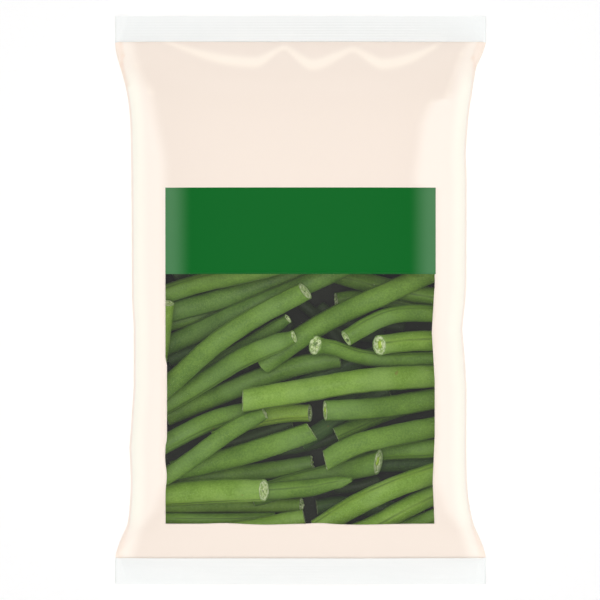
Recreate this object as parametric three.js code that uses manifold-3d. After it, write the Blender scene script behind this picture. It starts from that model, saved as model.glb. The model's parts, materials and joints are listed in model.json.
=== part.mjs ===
// A sealed bag of snipped green beans, lying on its back with the window up. Millimetres. +X is across the
// bag, +Y is towards its top seal, +Z is up. The origin is under the middle of the bag, on the surface that
// it lies on.
import * as THREE from "three";
import { mergeVertices } from "three/addons/utils/BufferGeometryUtils.js";
import Module from "manifold-3d";

// Driving dimensions of the bag
const flatWidth = 216; // the sleeve pressed flat, which is the width of its two end seals
const bagLength = 331; // outer edge of one end seal to outer edge of the other
const sealDepth = 15;
const fullThickness = 53; // at the thickest place of the filled bag
const sealHeight = 16; // the end seals stand this high over the surface
const edgeHeight = 22; // height of the widest line round the filled bag
const filmWall = 0.8; // real film is 0.05 mm: this is a wall that stays solid
const sealWall = 1.0; // two layers of film pressed into each other
const fit = 0.3; // air between pieces that touch

// How the filled bag departs from a flat sleeve
const swellLength = 24; // distance from a seal in which the bag grows to 3/4 of its thickness
const narrowing = 0.092; // share of the flat width that filling takes up
const frontPower = 2.8; // roundness of the front's section: 2 is an ellipse, more is squarer
const backPower = 2.6;
const backPress = 1.06; // the back would reach this much deeper, so the surface presses it flat
const cornerDroop = 4;
const sealWave = 1.1;

// The clear window in the front
const clear = { left: -78, right: 78, bottom: -130, top: 15 };

// The lap seam down the back, folded flat into a shallow channel
const seam = { left: 0, right: 12, wall: 0.8 };
const channelRise = seam.wall + fit;
const channel = { left: -2, right: 14.5 };

// Beans
const beanGap = 0.4; // between two beans that touch
const filmGap = 0.9; // between a bean and the film's curved wall, which is faceted
const sink = 2.6; // how far a bean is pressed into the one it is joined to
const sampleStep = 2.5; // spacing of the points that stand for a bean while it is laid
const bend = 0.007; // a bean leaves a point of contact along the parabola bend * distance ** 2
const steepest = 0.55; // and no steeper than this

const mix = (a, b, t) => a + (b - a) * t;
const bodyHalf = bagLength / 2 - sealDepth;

// 0 at a seal, near 1 in the full part of the bag
const swell = (y) => Math.tanh(Math.max(0, bodyHalf - Math.abs(y)) / swellLength);
const halfWidth = (y) => (flatWidth / 2) * (1 - narrowing * swell(y) ** 2);

// Height of the end seals across the bag: a slight wave, with the corners drooping
function sealZ(x) {
  const across = (2 * x) / flatWidth;
  return sealHeight + sealWave * Math.sin(2.2 * Math.PI * across) - cornerDroop * Math.abs(across) ** 3;
}
const edgeZ = (x, y) => mix(sealZ(x), edgeHeight, swell(y));

// Superellipse: 1 in the middle of the bag, 0 at its side
const dome = (share, power) => Math.max(0, 1 - Math.abs(share) ** power) ** (1 / power);

// Height of the front film at a share of the half width, and the same for the back film, inset by a wall
function frontZ(share, y, inset = 0) {
  const x = share * halfWidth(y);
  const rise = mix(filmWall, fullThickness - edgeHeight, swell(y)) - inset;
  return edgeZ(x, y) + rise * dome(share, frontPower);
}
function backZ(share, y, inset = 0) {
  const x = share * halfWidth(y);
  const drop = mix(filmWall, edgeHeight * backPress, swell(y) ** 0.6) - inset;
  return Math.max(inset, edgeZ(x, y) - drop * dome(share, backPower));
}

// Stacks rings of points into a closed solid. Each ring runs right to left over the top and back
// underneath, so point i lies over point n - i, and the two end rings are closed by a ladder between such
// pairs.
function ringSolid(rings) {
  const size = rings[0].length;
  const half = size / 2;
  const at = (ring, i) => ring * size + ((i + size) % size);
  const faces = [];
  for (let r = 0; r + 1 < rings.length; r++) {
    for (let i = 0; i < size; i++) {
      faces.push(at(r, i), at(r + 1, i), at(r + 1, i + 1));
      faces.push(at(r, i), at(r + 1, i + 1), at(r, i + 1));
    }
  }
  const ladder = (ring, turned) => {
    const add = (a, b, c) => faces.push(...(turned ? [a, c, b] : [a, b, c]));
    add(at(ring, 0), at(ring, 1), at(ring, -1));
    for (let i = 1; i + 1 < half; i++) {
      add(at(ring, i), at(ring, i + 1), at(ring, -i));
      add(at(ring, i + 1), at(ring, -i - 1), at(ring, -i));
    }
    add(at(ring, half - 1), at(ring, half), at(ring, half + 1));
  };
  ladder(0, false);
  ladder(rings.length - 1, true);
  const positions = rings.flat().flatMap((p) => [p.x, p.y, p.z]);
  return new THREE.BufferGeometry()
    .setAttribute("position", new THREE.Float32BufferAttribute(positions, 3))
    .setIndex(faces);
}

const wasm = await Module();
wasm.setup();

function solidOf(geometry) {
  const bare = geometry.clone();
  bare.deleteAttribute("normal");
  bare.deleteAttribute("uv");
  const merged = mergeVertices(bare, 1e-3);
  return new wasm.Manifold(
    new wasm.Mesh({
      numProp: 3,
      vertProperties: merged.attributes.position.array,
      triVerts: new Uint32Array(merged.index.array),
    }),
  );
}
function geometryOf(solid) {
  const { vertProperties, triVerts } = solid.getMesh();
  return new THREE.BufferGeometry()
    .setAttribute("position", new THREE.BufferAttribute(vertProperties, 3))
    .setIndex(new THREE.BufferAttribute(triVerts, 1));
}

// Bag: materials
const printedFilm = new THREE.MeshStandardMaterial({ color: 0xf6e9dc, roughness: 0.38, metalness: 0 });
const clearFilm = new THREE.MeshStandardMaterial({
  color: 0xffffff,
  roughness: 0.12,
  metalness: 0,
  transparent: true,
  opacity: 0.15,
});
const sealedFilm = new THREE.MeshStandardMaterial({
  color: 0xf8fafa,
  roughness: 0.3,
  metalness: 0,
  transparent: true,
  opacity: 0.8,
});

const bag = new THREE.Group();
function addPiece(name, geometry, material) {
  const mesh = new THREE.Mesh(geometry, material);
  mesh.name = name;
  bag.add(mesh);
  return mesh;
}

// Shares of the half width at which a section of the bag has a point, right side to left side: evenly round
// the front's section, and the four edges of the seam's channel, whose floor is flat.
const sectionSteps = 16;
const fullHalf = halfWidth(0);
const channelSlope = 0.6;
const channelFloor = [channel.right - channelSlope, channel.left + channelSlope];
const channelEdges = [channel.right, ...channelFloor, channel.left].map((x) => x / fullHalf);
const sectionShares = Array.from({ length: sectionSteps + 1 }, (_, i) => {
  const c = Math.cos((Math.PI * i) / sectionSteps);
  return Math.sign(c) * Math.abs(c) ** (2 / frontPower);
})
  .filter((share) => Math.abs(share) > 1e-6 && !(share > channelEdges[3] && share < channelEdges[0]))
  .concat(channelEdges)
  .sort((a, b) => b - a);
const inChannel = (share) => share <= channelEdges[1] + 1e-9 && share >= channelEdges[2] - 1e-9;

function bagRing(y, inset) {
  const half = halfWidth(y) - inset;
  const point = (share, z) => new THREE.Vector3(share * half, y, z);
  const front = sectionShares.map((share) => point(share, frontZ(share, y, inset)));
  const back = sectionShares
    .slice(1, -1)
    .map((share) => point(share, backZ(share, y, inset) + (inChannel(share) ? channelRise * swell(y) : 0)));
  return [...front, ...back.reverse()];
}

// Rows along the bag, closer together near the seals, where the film swells out
const rowsFromSeal = [0, 5, 11, 18, 26, 36, 50, 75, 110];
const rows = [
  ...rowsFromSeal.map((d) => d - bodyHalf),
  0,
  ...rowsFromSeal.map((d) => bodyHalf - d).reverse(),
];
const hollowRows = rows.slice(1, -1); // the hollow stops short of each seal, where the two films meet
const hollowHalf = hollowRows.at(-1);

const outside = solidOf(ringSolid(rows.map((y) => bagRing(y, 0))));
const inside = solidOf(ringSolid(hollowRows.map((y) => bagRing(y, filmWall))));
const filmShell = outside.subtract(inside);

// A block over the window that reaches down into the hollow, shrunk by a margin
function windowBlock(margin) {
  const [low, high] = [edgeHeight + 2, fullThickness + 10];
  const width = clear.right - clear.left - 2 * margin;
  const depth = clear.top - clear.bottom - 2 * margin;
  const block = new THREE.BoxGeometry(width, depth, high - low);
  block.translate((clear.left + clear.right) / 2, (clear.bottom + clear.top) / 2, (low + high) / 2);
  return solidOf(block);
}
addPiece("printed_sleeve", geometryOf(filmShell.subtract(windowBlock(0))), printedFilm);
addPiece("window_pane", geometryOf(filmShell.intersect(windowBlock(fit))), clearFilm);

// End seals: flat strips of pressed film that slope gently down, away from the bag
const sealSlope = 0.12;
function sealStrip(direction) {
  const shares = Array.from({ length: 15 }, (_, i) => 1 - i / 7);
  const rings = [fit, sealDepth / 2, sealDepth].map((out) => {
    const y = direction * (bodyHalf + out);
    const at = (share, side) => {
      const x = (share * flatWidth) / 2;
      return new THREE.Vector3(x, y, sealZ(x) - sealSlope * out + (side * sealWall) / 2);
    };
    const over = shares.map((share) => at(share, 1));
    const under = shares.map((share) => at(share, -1)).reverse();
    return [...over, ...under];
  });
  return ringSolid(direction > 0 ? rings : rings.reverse());
}
addPiece("top_seal", sealStrip(1), sealedFilm);
addPiece("bottom_seal", sealStrip(-1), sealedFilm);

// Back seam: a strip in the channel, following the back film
function seamStrip() {
  const rings = hollowRows.map((y) => {
    const at = (x, lift) => new THREE.Vector3(x, y, Math.max(0, backZ(x / halfWidth(y), y) + lift));
    const lift = channelRise * swell(y) - fit;
    return [
      at(seam.right, lift),
      at(seam.left, lift),
      at(seam.left, lift - seam.wall),
      at(seam.right, lift - seam.wall),
    ];
  });
  return ringSolid(rings);
}
addPiece("back_seam", seamStrip(), sealedFilm);

// Beans that show in the window, topmost first. The view square on to the bag gives each centre line and
// width, as pixels of a 600 x 600 picture in which the bag is 371 pixels wide.
const picture = { centreX: 300.5, centreY: 300, bagWidth: 371 };
const pixel = flatWidth / picture.bagWidth;
const seenBeans = [
  { width: 22, line: [[243, 400], [304, 390], [365, 380], [454, 375]] },
  { width: 19.5, line: [[305, 291], [254, 318], [214, 345], [184, 372], [154, 399]] },
  { width: 20, line: [[379, 345], [412, 341], [454, 341]] },
  { width: 17, line: [[346, 338], [368, 325], [390, 315.5], [420, 313], [455, 316]] },
  { width: 20, line: [[325, 460], [355, 444], [393, 435], [455, 423]] },
  { width: 20, line: [[325, 410], [380, 407], [455, 395]] },
  { width: 16.5, line: [[265, 413], [238, 426], [212, 444], [189, 461], [160, 480]] },
  { width: 23, line: [[264, 489.5], [215, 491], [150, 496]] },
  { width: 21, line: [[454, 466], [434, 473], [393, 487], [355, 505], [316, 529]] },
  { width: 20, line: [[312, 431], [279, 442.5], [240, 455], [200, 465], [172, 471]] },
  { width: 19.5, line: [[294, 336.5], [242, 358], [211, 377], [180, 396], [154, 411]] },
  { width: 18, tail: true, line: [[351, 479], [334, 482], [317, 486], [291, 489], [250, 492]] },
  { width: 15.5, line: [[315, 345], [331, 347], [351, 354], [377, 359], [450, 358]] },
  { width: 20, line: [[452, 263], [392, 290.5], [351, 309], [320, 325], [290, 345], [264, 365]] },
  { width: 17, line: [[167, 303], [161, 345], [156, 378]] },
  { width: 19, line: [[340, 358.5], [304, 364.5], [266, 376], [228, 391.5], [197, 404], [154, 422]] },
  { width: 19, line: [[262, 408], [245, 412], [215, 419.5], [189, 431], [154, 450]] },
  { width: 18, line: [[310, 413], [289, 413.5], [255, 419], [212, 434]] },
  { width: 21, line: [[378, 461.5], [350, 469], [330, 474.5], [295, 484], [252, 497]] },
  { width: 16.5, line: [[312, 463], [279, 469], [240, 474], [202, 477], [166, 479]] },
  { width: 17, line: [[304, 517], [279, 522], [243, 529], [204, 534]] },
  { width: 12, line: [[156, 518], [200, 519], [232, 519], [275, 518]] },
  { width: 14, line: [[301.5, 505], [266, 506], [228, 506], [189, 506], [156, 506]] },
  { width: 20, line: [[454, 485], [434, 494.5], [406, 507.5], [376, 524], [354, 533]] },
  { width: 19, line: [[154, 298], [172, 292], [205, 282], [240, 274.5], [290, 263]] },
  { width: 19, line: [[152, 353], [202, 330], [238, 313.5], [279, 296], [330, 274], [356, 262]] },
  { width: 20, line: [[152, 318], [175, 311], [215, 300.5], [253, 288], [289, 275], [322, 262]] },
  { width: 15, line: [[152, 329], [174, 322.5], [202, 316], [250, 303]] },
  { width: 14, line: [[288, 318.5], [253, 341.5], [215, 365], [187, 388], [164, 404]] },
  { width: 16, line: [[336, 434.5], [355, 426], [381, 415], [430, 400]] },
  { width: 18, line: [[302, 442], [330, 425], [348, 413], [388, 390]] },
  { width: 19, line: [[454, 446], [434, 448], [384, 451], [340, 458]] },
  { width: 19, line: [[318, 266], [337, 274], [372, 284], [402, 291], [452, 300]] },
  { width: 16, line: [[336, 300], [361, 298], [400, 303], [450, 314]] },
  { width: 18, line: [[452, 509], [434, 517.5], [411, 526], [372, 536]] },
  { width: 17, line: [[454, 466], [434, 464], [386, 464], [338, 468]] },
  { width: 17, line: [[300, 511], [335, 505], [368, 508], [424, 514]] },
  { width: 13, line: [[216, 447], [250, 437], [292, 423]] },
  { width: 16, line: [[326, 410], [348, 402], [378, 392], [436, 372]] },
  { width: 16, line: [[296, 388], [330, 372], [355, 362], [404, 343]] },
  { width: 14, line: [[156, 365], [184, 354], [236, 332]] },
];

const seenNode = "seen"; // stands for all of these among the nodes of beans already laid

// The film as a limit for the centre line of a bean: the furthest height it may have at a place, with a
// ball of the bean's radius clear of the film all round. side is 1 under the front film and -1 over the
// back film.
const feelers = [[0, 0]];
for (let turn = 0; turn < 12; turn++) {
  const angle = (turn * Math.PI) / 6;
  for (const reach of [0.55, 0.85, 1]) feelers.push([reach * Math.cos(angle), reach * Math.sin(angle)]);
}
function filmLimit(x, y, radius, side) {
  const reach = radius + filmGap;
  const wallZ = side > 0 ? frontZ : backZ;
  const lift = side > 0 ? 0 : channelRise;
  let limit = Infinity;
  for (const [dx, dy] of feelers) {
    const [px, py] = [x + dx * reach, y + dy * reach];
    const half = halfWidth(py) - filmWall;
    if (Math.abs(px) > half || Math.abs(py) > hollowHalf) return null;
    const depth = reach * Math.sqrt(Math.max(0, 1 - dx * dx - dy * dy));
    limit = Math.min(limit, side * (wallZ(px / half, py, filmWall) + lift) - depth);
  }
  return side * limit;
}

// A bean's plan: evenly spaced samples of its centre line, each with its distance s from the middle
function planOf(points) {
  const onFloor = points.map(([x, y]) => new THREE.Vector3(x, y, 0));
  const curve = new THREE.CatmullRomCurve3(onFloor, false, "centripetal");
  const length = curve.getLength();
  const count = Math.max(8, Math.round(length / sampleStep));
  return curve.getSpacedPoints(count).map((p, i) => ({ x: p.x, y: p.y, s: (i / count - 0.5) * length }));
}

// Heights of a bean laid against what limits it: the highest line under the limits (side 1), or the lowest
// line over them (side -1), that bends no more than a fresh bean does, with its kinks rounded off.
function restingHeights(plan, limits, side) {
  const kinkReach = 3;
  const clearance = 0.35;
  const give = (d) => (2 * bend * d < steepest ? bend * d * d : steepest * (d - steepest / (4 * bend)));
  const under = (s) => plan.map((p, j) => side * limits[j] + give(Math.abs(s - p.s)));
  let heights = plan.map(({ s }) => Math.min(...under(s)));
  for (let pass = 0; pass < 2; pass++) {
    heights = heights.map((_, i) => {
      const reach = Math.min(kinkReach, i, heights.length - 1 - i);
      const near = heights.slice(i - reach, i + reach + 1);
      return near.reduce((sum, height) => sum + height, 0) / near.length;
    });
  }
  return heights.map((height) => side * (height - clearance));
}

// Every bean that lies in the bag so far: { samples: [{ x, y, z }], radius, node }
const placed = [];

// Lays a bean of a plan and a radius against the film and the beans on its side. Null where it would leave
// the bag
function lay(plan, radius, side, node) {
  const limits = plan.map(({ x, y }) => filmLimit(x, y, radius, side));
  if (limits.includes(null)) return null;
  const met = placed.filter((other) => side > 0 || other.node !== seenNode);
  for (const other of met) {
    const reach = radius + other.radius + (other.node === node && side < 0 ? -sink : beanGap);
    plan.forEach(({ x, y }, i) => {
      for (const p of other.samples) {
        const flat = (x - p.x) ** 2 + (y - p.y) ** 2;
        if (flat > reach * reach) continue;
        const touch = side * p.z - Math.sqrt(reach * reach - flat);
        limits[i] = side * Math.min(side * limits[i], touch);
      }
    });
  }
  const heights = restingHeights(plan, limits, side);
  return { samples: plan.map(({ x, y }, i) => ({ x, y, z: heights[i] })), radius, node };
}

// Least room between a bean and the film that it wasn't laid against, and the sample where that is
function leastRoom(bean, side) {
  const room = bean.samples.map(({ x, y, z }) => side * (z - filmLimit(x, y, bean.radius, -side)));
  const least = Math.min(...room);
  return { least, at: room.indexOf(least) };
}

// True where two beans come closer than a reach
function meets(bean, other, reach) {
  return bean.samples.some((p) =>
    other.samples.some((q) => (p.x - q.x) ** 2 + (p.y - q.y) ** 2 + (p.z - q.z) ** 2 < reach * reach),
  );
}

// A bean's solid: a tube with flat, snipped ends, a little slimmer towards each end, or drawn out to a tail
// at its first end
function podSolid(bean, sides, stepLength) {
  const curve = new THREE.CatmullRomCurve3(bean.samples.map((p) => new THREE.Vector3(p.x, p.y, p.z)));
  const length = curve.getLength();
  const steps = Math.max(4, Math.round(length / stepLength));
  const tailLength = 20;
  const up = new THREE.Vector3(0, 0, 1);
  const rings = Array.from({ length: steps + 1 }, (_, j) => {
    const u = j / steps;
    const centre = curve.getPointAt(u);
    const along = curve.getTangentAt(u);
    const across = new THREE.Vector3().crossVectors(along, up).normalize();
    const over = new THREE.Vector3().crossVectors(across, along);
    const slim = 1 - 0.07 * Math.abs(2 * u - 1) ** 3;
    const tail = bean.tail ? Math.max(0.16, Math.min(1, (u * length) / tailLength) ** 0.6) : 1;
    const radius = bean.radius * slim * tail;
    return Array.from({ length: sides }, (_, i) => {
      const turn = (2 * Math.PI * i) / sides;
      return centre
        .clone()
        .addScaledVector(across, radius * Math.cos(turn))
        .addScaledVector(over, radius * Math.sin(turn));
    });
  });
  return ringSolid(rings);
}

const beanGreens = [0x6f9a48, 0x7ba653, 0x5f8a3c, 0x658f42, 0x567f36];
function beanMaterial(index) {
  const color = beanGreens[index % beanGreens.length];
  return new THREE.MeshStandardMaterial({ color, roughness: 0.42, metalness: 0 });
}

// A bean too deep for the bag is snipped shorter, sample by sample, at the end nearer to its deepest place
const shortest = 12;
seenBeans.forEach(({ line, width, tail }, index) => {
  const points = line.map(([px, py]) => [(px - picture.centreX) * pixel, (picture.centreY - py) * pixel]);
  const radius = (width * pixel) / 2;
  let plan = planOf(points);
  let bean = lay(plan, radius, 1, seenNode);
  let { least, at } = leastRoom(bean, 1);
  while (least < 0 && plan.length > shortest) {
    plan = at < plan.length / 2 ? plan.slice(1) : plan.slice(0, -1);
    bean = lay(plan, radius, 1, seenNode);
    ({ least, at } = leastRoom(bean, 1));
  }
  bean.tail = tail;
  placed.push(bean);
  addPiece(`bean_${String(index + 1).padStart(2, "0")}`, podSolid(bean, 8, 12), beanMaterial(index));
});

// Beans that hardly show: those under the ones above, on the back film, and those behind the printed label.
// They are poured clump by clump. Of those drawn at random, the one that comes to rest lowest is kept, if
// it also lies on one of its clump, to which it is then joined.
let draw = 20211;
function random([low, high]) {
  draw = (draw * 1664525 + 1013904223) % 4294967296;
  return mix(low, high, draw / 4294967296);
}

function randomPlan({ x, y, lengths, yaws }) {
  const [centreX, centreY, length] = [random(x), random(y), random(lengths)];
  const yaw = THREE.MathUtils.degToRad(random(yaws));
  const bow = random([-6, 6]);
  const points = [-0.5, 0, 0.5].map((end) => {
    const along = end * length;
    const aside = bow * (1 - 4 * end * end);
    return [
      centreX + along * Math.cos(yaw) - aside * Math.sin(yaw),
      centreY + along * Math.sin(yaw) + aside * Math.cos(yaw),
    ];
  });
  return planOf(points);
}

const thin = { beans: 6, lengths: [24, 60], radii: [3.7, 5], yaws: [-90, 90], tries: 400 };
const plump = { beans: 17, lengths: [60, 98], radii: [4.8, 6.4], yaws: [-40, 40], tries: 60 };
const clumps = [
  { name: "lower_beans_1", x: [0, 80], y: [-135, -90], ...thin },
  { name: "lower_beans_2", x: [-80, -20], y: [-90, -45], ...thin },
  { name: "lower_beans_3", x: [-20, 80], y: [-90, -45], ...thin },
  { name: "lower_beans_4", x: [-80, 0], y: [-45, 5], ...thin },
  { name: "lower_beans_5", x: [0, 80], y: [-45, 5], ...thin },
  { name: "label_beans_1", x: [-60, 60], y: [12, 62], ...plump },
  { name: "label_beans_2", x: [-60, 60], y: [82, 130], ...plump },
];

function pour(clump) {
  const laid = [];
  for (let n = 0; n < clump.beans; n++) {
    let lowest = null;
    for (let attempt = 0; attempt < clump.tries; attempt++) {
      const bean = lay(randomPlan(clump), random(clump.radii), -1, clump.name);
      if (!bean || leastRoom(bean, -1).least < 0) continue;
      const others = placed.filter((other) => other.node !== clump.name);
      if (others.some((other) => meets(bean, other, bean.radius + other.radius + beanGap))) continue;
      if (n && !laid.some((other) => meets(bean, other, bean.radius + other.radius - 0.8 * sink))) continue;
      bean.level = bean.samples.reduce((sum, p) => sum + p.z, 0) / bean.samples.length;
      if (!lowest || bean.level < lowest.level) lowest = bean;
    }
    if (!lowest) break;
    laid.push(lowest);
    placed.push(lowest);
  }
  return laid;
}

for (const clump of clumps) {
  const pods = pour(clump).map((bean) => solidOf(podSolid(bean, 6, 20)));
  const joined = pods.reduce((all, pod) => all.add(pod));
  const [largest] = joined.decompose().sort((a, b) => b.volume() - a.volume());
  addPiece(clump.name, geometryOf(largest), beanMaterial(2));
}

export default bag;
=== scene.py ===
"""A sealed bag of snipped green beans, dressed over its CAD frame.

The bag lies on its back with its top end towards +Y and its printed front up. Lengths are in metres. The
film is a printed sleeve with a clear window, two flat end seals and a back seam. Its surfaces repeat the
formulas that the solids were made with, and add the folds and the uneven print edges. Each bean that shows
is a round pod drawn along the centre line of its own solid, and the beans under them are the solids,
rounded off.
"""

import json

import bpy
import numpy as np
from bpy.props import FloatProperty, FloatVectorProperty, IntProperty, PointerProperty
from bpy.types import Operator, Panel, PropertyGroup
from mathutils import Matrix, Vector

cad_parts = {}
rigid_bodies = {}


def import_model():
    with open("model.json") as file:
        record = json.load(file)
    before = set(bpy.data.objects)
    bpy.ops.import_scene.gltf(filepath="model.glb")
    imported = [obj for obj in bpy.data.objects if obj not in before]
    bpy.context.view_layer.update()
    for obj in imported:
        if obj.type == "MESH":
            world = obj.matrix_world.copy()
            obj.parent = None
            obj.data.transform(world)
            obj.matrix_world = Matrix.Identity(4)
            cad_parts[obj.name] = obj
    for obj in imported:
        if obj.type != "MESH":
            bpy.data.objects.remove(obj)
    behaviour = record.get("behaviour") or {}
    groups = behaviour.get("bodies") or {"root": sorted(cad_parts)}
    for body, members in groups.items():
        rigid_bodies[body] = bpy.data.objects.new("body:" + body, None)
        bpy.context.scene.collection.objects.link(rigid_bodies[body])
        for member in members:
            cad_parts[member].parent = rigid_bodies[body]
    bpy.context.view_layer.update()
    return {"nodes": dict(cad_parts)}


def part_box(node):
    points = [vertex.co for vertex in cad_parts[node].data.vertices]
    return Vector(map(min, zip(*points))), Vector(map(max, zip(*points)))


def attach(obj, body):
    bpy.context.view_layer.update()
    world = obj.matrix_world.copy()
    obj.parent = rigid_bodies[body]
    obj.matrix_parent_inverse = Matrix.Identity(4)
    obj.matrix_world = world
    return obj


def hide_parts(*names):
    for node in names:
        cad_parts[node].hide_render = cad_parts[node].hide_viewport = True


bl_info = {
    "name": "Bag of green beans",
    "version": (1, 0, 0),
    "blender": (4, 5, 0),
    "location": "3D View > Sidebar > Green beans",
    "description": "Dresses the CAD frame of a bag of green beans",
    "category": "Object",
}

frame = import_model()
sleeve_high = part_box("printed_sleeve")[1]
seal_low, seal_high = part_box("top_seal")
shown_beans = sorted(name for name in frame["nodes"] if name.startswith("bean_"))
hidden_beans = sorted(name for name in frame["nodes"] if "_beans_" in name)

MM = 0.001

# How far the back's film is lifted over the seam that lies folded under it.
SEAM_LIFT = 1.1 * MM


def linear(code):
    """Turns an sRGB hex colour into the linear red, green, blue and alpha that shaders take."""
    srgb = np.array([int(code[i : i + 2], 16) for i in (0, 2, 4)]) / 255
    light = np.where(srgb <= 0.04045, srgb / 12.92, ((srgb + 0.055) / 1.055) ** 2.4)
    return (*light.tolist(), 1.0)


def length_prop(name, description, default):
    """A length that the user can change, in metres."""
    return FloatProperty(name=name, description=description, default=default, unit="LENGTH", precision=5)


def colour_prop(name, description, code):
    """A colour that the user can change, from its sRGB hex value."""
    start = linear(code)
    return FloatVectorProperty(name=name, description=description, default=start, size=4, subtype="COLOR")


class BagShape(PropertyGroup):
    """The sizes that the film's surfaces follow."""

    flat_width: length_prop("Flat width", "Width across the end seals", seal_high.x - seal_low.x)
    body_half: length_prop("Half body", "From the middle of the bag to an end seal", sleeve_high.y)
    seal_end: length_prop("Seal end", "From the middle of the bag to its end", seal_high.y)
    thickness: length_prop("Thickness", "Height of the filled bag", sleeve_high.z)
    seal_height: length_prop("Seal height", "Height of the end seals over the table", 0.016)
    edge_height: length_prop("Edge height", "Height of the bag's widest line", 0.022)
    mouth: length_prop("Mouth", "Half the thickness where the body meets a seal", 0.0008)
    swell_length: length_prop("Swell length", "How soon the body fills out behind a seal", 0.024)
    narrowing: FloatProperty(name="Narrowing", description="Width lost where the body is full", default=0.092)
    front_power: FloatProperty(name="Front fullness", description="Exponent of the front's arch", default=2.8)
    back_power: FloatProperty(name="Back fullness", description="Exponent of the back's arch", default=2.6)
    back_press: FloatProperty(name="Back press", description="Above 1, the table flattens it", default=1.06)
    corner_droop: length_prop("Corner droop", "How far the seals' corners hang", 0.004)
    seal_wave: length_prop("Seal wave", "Height of the seals' wave", 0.0011)
    film: length_prop("Film", "Thickness that the film is drawn with", 0.0003)


class PrintLayout(PropertyGroup):
    """Where the front's print and window lie, and their colours."""

    window_left: length_prop("Window left", "Left edge of the clear window", -0.0783)
    window_right: length_prop("Window right", "Right edge of the clear window", 0.0778)
    window_low: length_prop("Window low", "Lower edge of the clear window", -0.1299)
    window_high: length_prop("Window high", "Upper edge of the clear window", 0.0150)
    band_high: length_prop("Band top", "Upper edge of the green band, which starts at the window", 0.0651)
    cream: colour_prop("Cream print", "Colour of the middle of the front and back", "F0E2D6")
    # The paler cream towards the sides is painted sheen.
    cream_side: colour_prop("Cream at the sides", "Colour towards the side folds", "FBEFE4")
    band: colour_prop("Green band", "Colour of the band over the window", "0B6323")
    # The inside face's dark colour is painted shade.
    inside: colour_prop("Inside face", "Colour of the print's back, seen through the window", "4A4E40")


class BeanLook(PropertyGroup):
    """How finely the beans are drawn and what colours they have."""

    sides: IntProperty(name="Sides", description="Faces around a bean", default=44, min=12)
    step: length_prop("Step", "Length of one face along a bean", 0.0016)
    fullness: FloatProperty(name="Fullness", description="Radius as a share of the solid's", default=1.03)
    oval: FloatProperty(name="Oval", description="Share by which a bean is deeper than wide", default=0.025)
    bulge: FloatProperty(name="Seed bulge", description="Share that the seeds swell it by", default=0.022)
    seed_pitch: length_prop("Seed pitch", "Distance from seed to seed", 0.0125)
    voxel: length_prop("Voxel", "Cell that the hidden beans are rounded off with", 0.0014)
    flesh: colour_prop("Cut flesh", "Colour of a snipped end", "E8F6BC")
    seed: colour_prop("Seed", "Colour of a seed that shows in a snipped end", "B2D24A")


def swell(bag, y):
    """The share to which the bag has filled out: 0 at a seal, rising as a hyperbolic tangent to 1."""
    return np.tanh(np.maximum(0, bag.body_half - np.abs(y)) / bag.swell_length)


def half_width(bag, y):
    """Half the bag's width: half the flat width, less a share that grows with the square of the swell."""
    return bag.flat_width / 2 * (1 - bag.narrowing * swell(bag, y) ** 2)


def seal_z(bag, x):
    """Height of a seal's middle: a level with one and a bit waves across, less a cubic corner droop."""
    across = 2 * x / bag.flat_width
    wave = bag.seal_wave * np.sin(2.2 * np.pi * across)
    return bag.seal_height + wave - bag.corner_droop * np.abs(across) ** 3


def edge_z(bag, x, y):
    """Height of the line where front and back meet: with the swell, from the seal's to the edge height."""
    full = swell(bag, y)
    return seal_z(bag, x) * (1 - full) + bag.edge_height * full


def dome(share, power):
    """A superellipse: 1 in the middle, 0 at a share of -1 or 1."""
    return np.maximum(0, 1 - np.abs(share) ** power) ** (1 / power)


def front_z(bag, share, y):
    """The front: the edge line plus a dome whose rise grows from the mouth to the full thickness."""
    full = swell(bag, y)
    rise = bag.mouth * (1 - full) + (bag.thickness - bag.edge_height) * full
    return edge_z(bag, share * half_width(bag, y), y) + rise * dome(share, bag.front_power)


def back_z(bag, share, y):
    """The back: the edge line less a dome a little deeper than the edge is high, never below the table."""
    full = swell(bag, y) ** 0.6
    drop = bag.mouth * (1 - full) + bag.edge_height * bag.back_press * full
    return np.maximum(0, edge_z(bag, share * half_width(bag, y), y) - drop * dome(share, bag.back_power))


def ease(value, start, end):
    """A smooth step from 0 at the start to 1 at the end."""
    t = np.clip((value - start) / (end - start), 0, 1)
    return t * t * (3 - 2 * t)


def bump(value, middle, width):
    """A bell of height 1."""
    return np.exp(-(((value - middle) / width) ** 2))


# Folds of the film as straight lines: start, end, half width and height, in millimetres, judged.
FOLDS = (
    ((-104.5, 149.6), (-103.4, 142.1), 1.3, -0.7),
    ((-103.4, 142.1), (-104.2, 136.8), 1.3, -0.7),
    ((-104.2, 136.8), (-100.4, 124.8), 1.6, -0.8),
    ((-99.3, 150.0), (-95.8, 136.2), 2.2, 0.7),
    ((-95.8, 136.2), (-87.6, 121.2), 2.6, 0.7),
    ((-87.6, 121.2), (-84.7, 101.9), 3.0, 0.5),
    ((103.4, 149.8), (100.4, 140.9), 1.3, -0.7),
    ((100.4, 140.9), (101.6, 135.2), 1.3, -0.7),
    ((98.7, 150.0), (94.3, 143.2), 2.2, 0.7),
    ((94.3, 143.2), (85.9, 119.5), 2.6, 0.7),
    ((85.9, 119.5), (76.5, 115.3), 2.6, 0.5),
    ((76.5, 115.3), (70.6, 101.9), 3.0, 0.4),
    ((-107.8, -150.2), (-102.8, -145.0), 1.6, 0.6),
    ((-102.8, -145.0), (-97.0, -137.4), 1.8, 0.6),
    ((107.0, -150.2), (101.5, -143.0), 1.7, 0.6),
    ((101.5, -143.0), (96.0, -132.0), 2.0, 0.5),
)

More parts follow.
